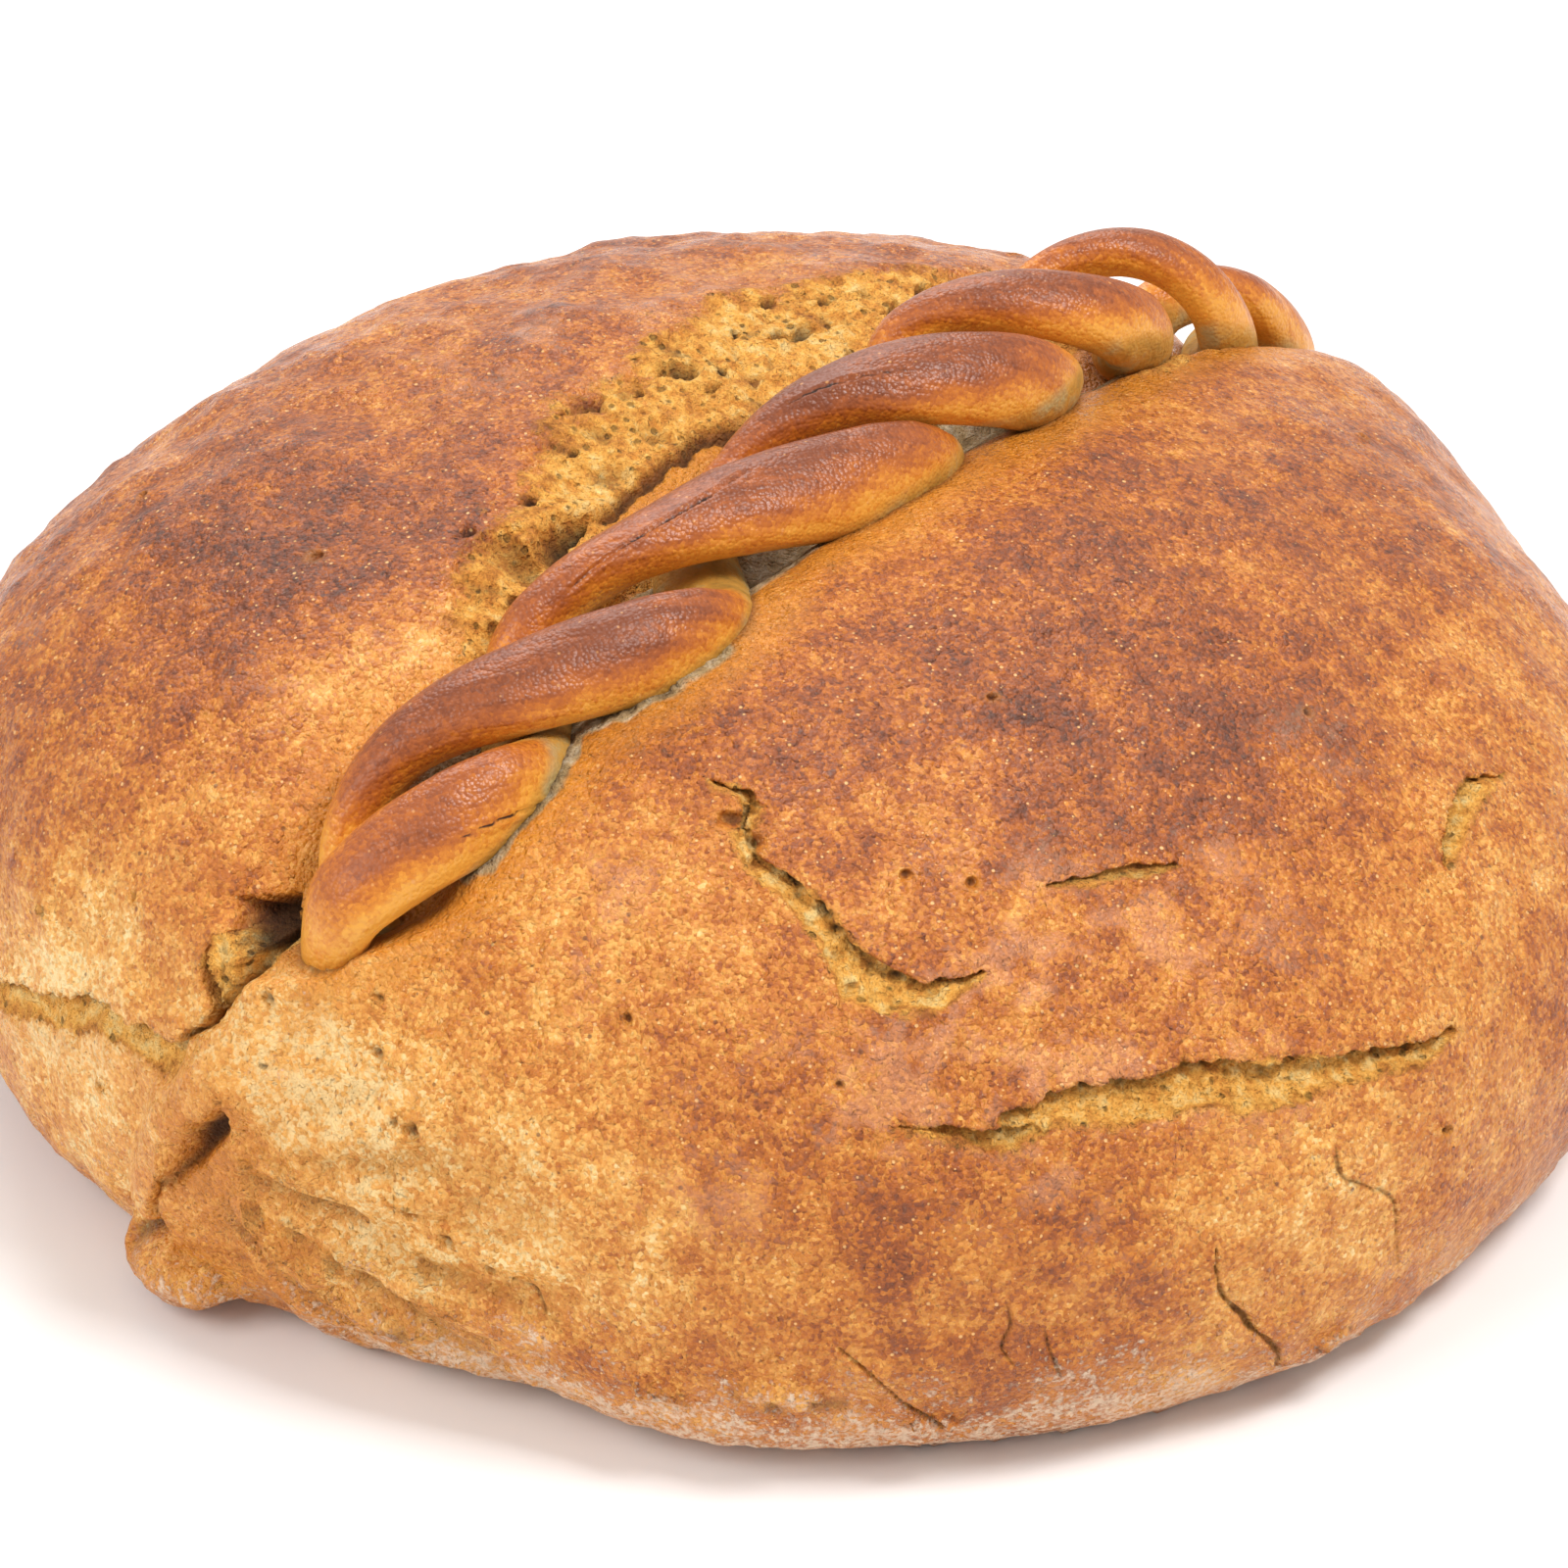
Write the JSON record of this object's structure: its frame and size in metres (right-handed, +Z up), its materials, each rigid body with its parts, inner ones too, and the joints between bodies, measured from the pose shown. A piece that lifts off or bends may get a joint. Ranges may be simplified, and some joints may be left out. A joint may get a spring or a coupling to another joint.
{
  "type": "sourdough loaf",
  "caption": "Large round rustic sourdough loaf with a twisted dough rope baked into the valley across its top, torn crumb beside the rope and open cracks in the crust.",
  "frame": {"origin": "middle of the flat underside that the loaf rests on", "axes": "+Z up, +X along the rope towards its arched end, +Y towards the lobe with the torn crumb"},
  "size_m": [0.3102, 0.2986, 0.1239],
  "materials": {
    "crust": "golden brown baked crust with a soft sheen, darker on the tops of the lobes, floury round the foot",
    "rope_crust": "smooth mahogany brown baked crust, yellower in the creases"
  },
  "bodies": {
    "root": {"loaf": "crust", "rope_strand_a": "rope_crust", "rope_strand_b": "rope_crust"}
  },
  "joints": []
}
